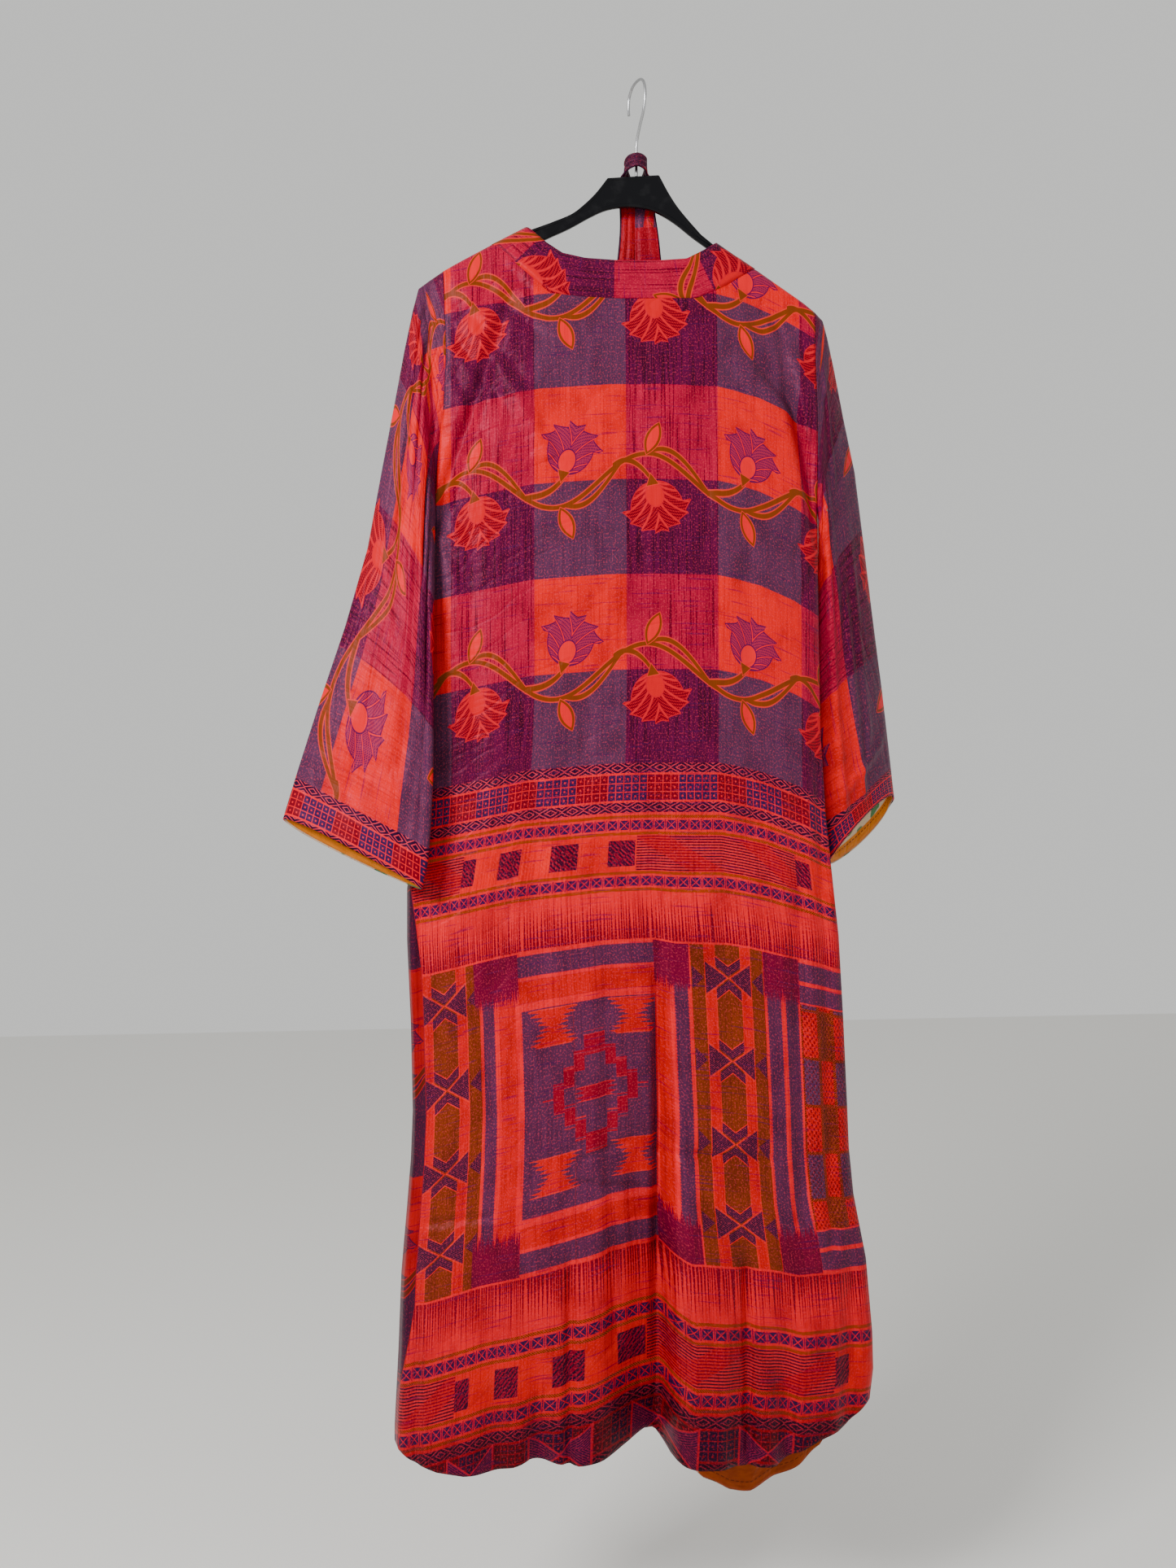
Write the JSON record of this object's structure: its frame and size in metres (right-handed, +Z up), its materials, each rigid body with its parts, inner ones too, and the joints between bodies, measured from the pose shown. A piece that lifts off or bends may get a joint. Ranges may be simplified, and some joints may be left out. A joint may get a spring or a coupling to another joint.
{
  "type": "kimono robe and its clothes hanger",
  "caption": "Long open-front kimono robe with wide straight sleeves, neck band and belt, hung flat on a moulded hanger with a wire hook.",
  "frame": {"origin": "inside top of the hanger's wire hook, where it hangs on a rail", "axes": "+Z up, +X across the shoulders to the viewer's right, the robe's back faces -Y"},
  "size_m": [0.6866, 0.1448, 1.5401],
  "materials": {
    "printed_silk": "satin",
    "facing_silk": "satin",
    "belt_silk": "satin",
    "black_plastic": "gloss",
    "steel_wire": "satin"
  },
  "bodies": {
    "root": {"back_panel": "printed_silk", "left_front": "printed_silk", "right_front": "printed_silk", "neck_band": "printed_silk", "left_sleeve": "printed_silk", "right_sleeve": "printed_silk", "left_cuff_facing": "facing_silk", "right_cuff_facing": "facing_silk", "hem_facing": "facing_silk", "belt": "belt_silk", "hanger": "black_plastic", "hook": "steel_wire"}
  },
  "joints": []
}
